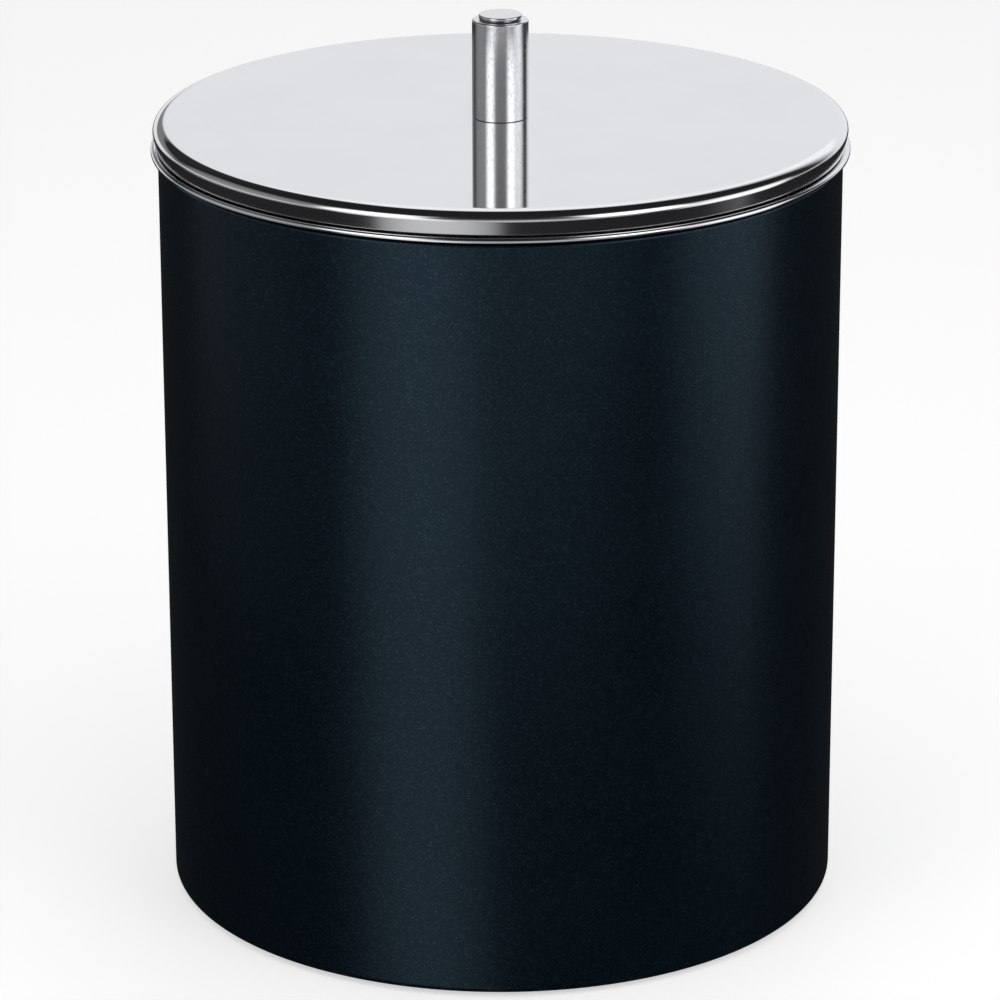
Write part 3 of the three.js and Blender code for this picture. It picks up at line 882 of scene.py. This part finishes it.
for i in range(4):
    node = f"strainer_foot_{i + 1}"
    low_corner, high_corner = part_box(node)
    middle = (low_corner + high_corner) / 2 / MM
    radius = (high_corner.x - low_corner.x) / 2 / MM
    low, high = low_corner.z / MM, high_corner.z / MM
    outline = from_axis([[0, low], [radius, low], [radius, high], [0, high]], [0.5, 0.15], steps=5)
    post = spun(f"strainer_post_{i + 1}", outline, turns=40, centre=(middle.x, middle.y))
    fit_piece(post, SATIN, "strainer", node)

# %% [markdown]
# ## The lid
#
# The lid's top is one polished pressing. A dead flat mirror runs into a rounded shoulder, an
# ellipse wider than it is tall. Below the widest line the short skirt leans in, and its foot is
# hemmed inwards to hold the tray. The skirt and the shoulder catch quite different parts of the
# room, so the edge of the lid reads as separate bright and dark bands.

# %% Make the lid's top
LID_SHEET = 0.9
SHOULDER_WIDTH, SHOULDER_HEIGHT = 2.5, 1.9
CROWN_WIDTH, CROWN_DROP, CROWN_RADIUS = 1.1, 0.03, 30  # where the flat falls away to the shoulder
SKIRT_LEAN, SKIRT_SHEET, SKIRT_GAP = 0.6, 0.7, 0.05  # the gap is below the widest line
HEM_END, HEM_HEIGHT = 71.6, 0.8
SCREW_HOLE = 2.3

radius, low, high = reach("lid_top")
flat_radius, widest = radius - SHOULDER_WIDTH, high - SHOULDER_HEIGHT
skirt_foot, hem_top, lid_under = radius - SKIRT_LEAN, low + HEM_HEIGHT, high - LID_SHEET
underside = rounded([
    [flat_radius, high - CROWN_DROP], [flat_radius - CROWN_WIDTH, high], [SCREW_HOLE, high],
    [SCREW_HOLE, lid_under], [radius - LID_SHEET, lid_under], [skirt_foot - SKIRT_SHEET, hem_top],
    [HEM_END, hem_top], [HEM_END, low], [skirt_foot, low], [radius, widest - SKIRT_GAP],
], [
    0, CROWN_RADIUS, 0.15,
    0.15, 1.5, BREAK,
    BREAK, BREAK, 0.3, 0,
], closed=False)
shoulder_height = SHOULDER_HEIGHT - CROWN_DROP
shoulder = oval_arc([flat_radius, widest], SHOULDER_WIDTH, shoulder_height, steps=24)
lid = spun("lid_pressing", joined(underside, shoulder), turns=384)
fit_piece(lid, MIRROR, "lid", "lid_top")

# %% [markdown]
# ## Under the lid
#
# A shallow tray hangs in the mouth of the bucket and keeps the foam dry. A silicone band with two
# fins goes round it. The fins stop just short of the liner, so the lid lifts off without a pull.

# %% Make the tray, the foam and the seal
TRAY_SHEET = 0.6
TRAY_RADIUS = 62.6  # outside of the wall that hangs in the mouth
TRAY_CORNER = 2

radius, low, high = reach("lid_pan")
tray_inside, tray_floor, ledge_under = TRAY_RADIUS - TRAY_SHEET, low + TRAY_SHEET, high - TRAY_SHEET
tray_outline = from_axis([
    [0, low], [TRAY_RADIUS, low], [TRAY_RADIUS, ledge_under], [radius, ledge_under],
    [radius, high], [tray_inside, high], [tray_inside, tray_floor], [0, tray_floor],
], [
    TRAY_CORNER, 0.3, BREAK,
    BREAK, 0.6, TRAY_CORNER - TRAY_SHEET,
])
fit_piece(spun("lid_tray", tray_outline), SATIN, "lid", "lid_pan")

FOAM_BORE = 9.5  # room for the screw's head and its washers
FOAM_GAP = 0.3  # between the foam and the tray's wall
FOAM_LEDGE = 1.2  # height of the foam's step above the lid's hem

radius, low, high = reach("lid_insulation")
foam_plug, foam_ledge = tray_inside - FOAM_GAP, hem_top + FOAM_LEDGE
foam_outline = joined(rounded([
    [FOAM_BORE, low], [foam_plug, low], [foam_plug, foam_ledge], [radius, foam_ledge],
    [radius, high], [FOAM_BORE, high],
], [0.4, 1.8, 0.3, 0.3, 0.3, 0.4]))
fit_piece(spun("lid_foam", foam_outline, turns=160), FOAM, "lid", "lid_insulation")

BAND_GAP, BAND_OUTSIDE = 0.3, 1.3  # the band's inside and outside, from the tray's wall
FIN_PITCH = 3
FIN_ROOT, FIN_TIP = 1.5, (0.55, 0.95)  # a fin's height at the band, and where its tip lies in it

radius, low, high = reach("lid_seal")
band_inside, band = TRAY_RADIUS + BAND_GAP, TRAY_RADIUS + BAND_OUTSIDE
fin = ((band, 0), (radius, FIN_TIP[0]), (radius, FIN_TIP[1]), (band, FIN_ROOT))
fins = [[r, foot + z] for foot in (low, low + FIN_PITCH) for r, z in fin]
seal_outline = joined(rounded(
    [[band_inside, low], *fins, [band_inside, high]],
    [0.1, 0.1, 0.15, 0.15, 0.4, 0.4, 0.15, 0.15, 0.05, 0.05], steps=4))
fit_piece(spun("lid_band", seal_outline), SILICONE, "lid", "lid_seal")

# %% [markdown]
# ## The knob
#
# The knob is a length of bar with a crisp, barely broken edge. A turned button sits in its top. The
# button tapers in towards the bar, so a dark line separates the two. The knob stands on a nylon pad
# let into its foot, which leaves only a hairline above the lid.

# %% Make the knob and its button
THREAD_HOLE, THREAD_DEPTH = 2.2, 13  # radius and depth of the screw's hole
STEM_HOLE, STEM_DEPTH = 1.7, 4.4  # radius and depth of the hole for the button's stem
PAD_RECESS, RECESS_WALL = 0.6, 1
FOOT_DROP = 0.12  # how far the bar comes down round its pad, to leave only a hairline

radius, low, high = reach("knob")
hole_top, stem_floor = low + THREAD_DEPTH, high - STEM_DEPTH
recess, foot = low + PAD_RECESS, low - FOOT_DROP
knob_outline = from_axis([
    [0, hole_top], [THREAD_HOLE, hole_top], [THREAD_HOLE, recess], [radius - RECESS_WALL, recess],
    [radius - RECESS_WALL, foot], [radius, foot], [radius, high], [STEM_HOLE, high],
    [STEM_HOLE, stem_floor], [0, stem_floor],
], [0.2, 0.1, 0.1, 0.1, 0.08, 0.32, 0.15, 0.1])
fit_piece(spun("knob_bar", knob_outline, turns=160), TURNED, "lid", "knob")

STEM_RADIUS = 1.4
BUTTON_GAP = 0.1
BUTTON_TAPER, BUTTON_BAND = 0.15, 0.5  # how far its side leans in, and the upright part above

button_under = high + BUTTON_GAP
radius, low, high = reach("knob_cap")
button_outline = from_axis([
    [0, low], [STEM_RADIUS, low], [STEM_RADIUS, button_under], [radius - BUTTON_TAPER, button_under],
    [radius, high - BUTTON_BAND], [radius, high], [0, high],
], [0.3, 0.1, 0.15, 0.15, 0.25])
fit_piece(spun("knob_button", button_outline, turns=128), TURNED, "lid", "knob_cap")

# %% [markdown]
# ## What holds the knob
#
# Out of sight between the lid's top and the foam, a machine screw draws the knob down through a
# split washer and a wide one that spreads the pull over thin sheet. The split washer's CAD shape is
# right as it is, so it only gets its finish.

# %% Make the knob's fixings
SCREW_RADIUS, SCREW_TIP = 1.9, 1.4
HEAD_HEIGHT, DOME_HEIGHT = 2.5, 2.0
DOME_CUT = 0.75  # how much of the dome's squared radius is gone at its lowest point

radius, low, high = reach("knob_screw")
head_top, dome_top = low + HEAD_HEIGHT, low + DOME_HEIGHT
screw_thread = thread(SCREW_RADIUS, pitch=0.7, depth=0.4)


def screw_radius(height, angle):
    """A pan head, domed like an ellipse below, then the thread with a cone at the tip."""
    drop = np.clip((dome_top - height) / DOME_HEIGHT, 0, 1)
    dome = radius * np.sqrt(1 - DOME_CUT * drop ** 2)
    shank = np.minimum(screw_thread(height, angle), SCREW_TIP + (high - height))
    return np.where(height < head_top + STEP_GAP / 2, dome, shank)


screw_heights = [*np.linspace(low, dome_top, 9), head_top,
                 *np.linspace(head_top + STEP_GAP, high, 180)]
screw = around_axis("screw_threaded", screw_radius, np.array(screw_heights), turns=40)
fit_piece(screw, ZINC, "lid", "knob_screw")

SCREW_CLEARANCE = 2.4
for name, node, finish, slot in (("screw_spreader", "screw_washer", ZINC, "zinc_steel"),
                                 ("knob_pad", "knob_washer", NYLON, "black_nylon")):
    disc = flat_ring(name, node, SCREW_CLEARANCE, 0.12, turns=96, steps=4)
    fit_piece(disc, finish, "lid", node)

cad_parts["lock_washer"].material_slots[0].material = ZINC
print("the split washer keeps its CAD shape, with the finish", ZINC.name)

# %% [markdown]
# ## The studio
#
# Polished metal shows the room and not itself, so the room is what gets designed. The far wall is a
# bright sheet, and the flat lid mirrors it. The other walls are dark but for a narrow pale band at
# the horizon, which draws the lid's shoulder as a black line and keeps the coating deep. The camera
# itself sees a plain white backdrop.

# %% Paint the room
def studio_room():
    """Brightness by direction: x to the right, y to the far wall, and h the sine of the angle above
    the horizon. The far wall is a sheet up to about fifty degrees, brighter from about eighteen
    degrees up, with a greyer panel at its left whose upper part is darker still."""
    world = bpy.data.worlds.new("studio_room")
    f = Finish(world)
    x, y, h = f.split(f.add("ShaderNodeTexCoord", output="Generated"))
    far = y.above(0.60, 0.80) * h.above(-0.14, -0.10) * (1.0 - h.above(0.72, 0.76))
    left = 1.0 - x.above(-0.14, -0.08)
    panel, corner = left * h.above(0.13, 0.17), left * h.above(0.29, 0.33)
    horizon = h.above(-0.06, 0.0) * (1.0 - h.above(0.08, 0.14))

    wall_glow, right_extra, top_extra = 0.87, 0.04, 0.16
    panel_loss, corner_loss = 0.75, 0.9
    horizon_glow, dark_glow, backdrop_glow = 0.5, 0.016, 0.97
    sheet = wall_glow + x.above(-0.2, 0.3) * right_extra + h.above(0.305, 0.345) * top_extra
    sheet = sheet * (1.0 - panel * panel_loss) * (1.0 - corner * corner_loss)
    glow = far * sheet + (1.0 - far) * (horizon * horizon_glow + dark_glow)
    pale_blue, white = (0.97, 0.98, 1.0, 1), (1.0, 1.0, 1.0, 1)
    room = f.add("ShaderNodeBackground", {}, {"Color": pale_blue, "Strength": glow})
    backdrop = f.add("ShaderNodeBackground", {}, {"Color": white, "Strength": backdrop_glow})
    seen = f.add("ShaderNodeLightPath", output="Is Camera Ray")
    both = f.add("ShaderNodeMixShader", {}, {0: seen, 1: room, 2: backdrop})
    f.add("ShaderNodeOutputWorld", {}, {"Surface": both})
    return world


bpy.context.scene.world = studio_room()
print("world:", bpy.context.scene.world.name)

# %% [markdown]
# ## Floor and lights
#
# The floor is a plain pale sheet that glows a little, like a light table. A large lamp overhead
# lights it softly, and the bucket's shadow stays close to its foot. Metal doesn't mirror that lamp
# or the floor: the bucket is lit as if it stood on a narrow plinth, so its mirrors see the walls
# past the table's edge. For the same reason the floor stops no light from a lamp that reaches lower.
#
# What the metal does mirror is a ring of smaller lamps. A tall box at the left lays a highlight down
# the coating, and a low box at the right answers it. Two boxes higher up give the knob its bright
# stripes, and faint cards in front and at the left lift the coating between them. Each fades towards
# its edges, as cloth over a lamp does, so no highlight ends in a hard line.

# %% Lay the floor and hang the lights
def pale_floor():
    f = new_finish("pale_floor")
    tone = f.noise(f.place(), 400, detail=2.0)
    colour = f.mix(tone, (0.60, 0.60, 0.605, 1), (0.63, 0.63, 0.63, 1))
    return f.surface(Base_Color=colour, Roughness=0.8, Emission_Color=(1.0, 1.0, 1.0, 1),
                     Emission_Strength=0.56)


FLOOR_HALF = 8.0  # half the width of the floor, in metres
floor_corners = np.array([[-1, -1, 0], [1, -1, 0], [1, 1, 0], [-1, 1, 0]]) * FLOOR_HALF
floor = make_mesh("floor", floor_corners, [[0, 1, 2, 3]])
floor.data.materials.append(pale_floor())
floor.visible_glossy = False
floor.visible_shadow = False
floor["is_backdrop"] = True


def soft_box(name, side_degrees, height, distance, size, glow,
             lean=0, fade=(0.4, 0.4), seen_in_metal=True):
    """A lamp that looks at the bucket, turned round it from the camera's side, to the right.

    Glow is its greatest brightness: a lamp's power is glow times pi times its area. Across the face
    u and v run from 0 to 1, and its light is the square root of 4u(1 - u), times v to the power a
    times (1 - v) to the power b, over the greatest value of that product, at v = a / (a + b).
    """
    lamp = bpy.data.lights.new(name, "AREA")
    lamp.shape, lamp.size, lamp.size_y = "RECTANGLE", *size
    lamp.energy = glow * math.pi * size[0] * size[1]
    a, b = fade
    greatest = (a / (a + b)) ** a * (b / (a + b)) ** b
    f = Finish(lamp)
    u, v = f.split(f.add("ShaderNodeNewGeometry", output="Parametric"))[:2]
    cloth = ((u * (1.0 - u) * 4.0) ** 0.5) * (v ** a) * ((1.0 - v) ** b) * (1 / greatest)
    emission = f.add("ShaderNodeEmission", {}, {"Strength": cloth})
    f.add("ShaderNodeOutputLight", {}, {"Surface": emission})
    side = math.radians(side_degrees)
    place = Vector((math.sin(side) * distance, -math.cos(side) * distance, height))
    holder = bpy.data.objects.new(name, lamp)
    holder.location = place
    target = Vector((0, 0, height / 2))
    aim = (target - place).to_track_quat("-Z", "Y").to_matrix()
    holder.rotation_euler = (aim @ Matrix.Rotation(math.radians(lean), 3, "Z")).to_euler()
    holder.visible_camera = False
    holder.visible_glossy = seen_in_metal
    bpy.context.scene.collection.objects.link(holder)
    print(f"{name}: {lamp.energy:.2f} watts")


# name, degrees to the right, height, distance, size, glow
soft_box("left_box", -32, -0.05, 0.95, (0.70, 2.0), 0.66, lean=20, fade=(0.3, 0.3))
soft_box("high_left_box", -42, 0.62, 0.96, (0.66, 0.75), 1.30)
soft_box("left_card", -88, 0.23, 0.50, (0.70, 0.70), 0.27, fade=(0.6, 0.6))
soft_box("front_card", 2, 0.16, 0.50, (1.0, 0.52), 0.38, fade=(0.5, 1.2))
soft_box("right_box", 45, 0.62, 0.95, (0.68, 0.75), 2.10)
soft_box("low_right_box", 78, 0.14, 0.60, (0.48, 0.70), 1.3, lean=-15, fade=(1.3, 0.7))
soft_box("ceiling_box", 0, 3.0, 0.05, (6.0, 6.0), 1.1, seen_in_metal=False)

# %% [markdown]
# ## The size of the whole
#
# The surfaces replaced the CAD pieces one by one, so the whole must still measure the same. The cell
# prints its box and sets the Standard view transform.

# %% Print the box and set the view transform
bpy.context.scene.view_settings.view_transform = "Standard"
low_corner, high_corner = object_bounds()
print("visual box in mm:", [round(v / MM, 1) for v in (*low_corner, *high_corner)])
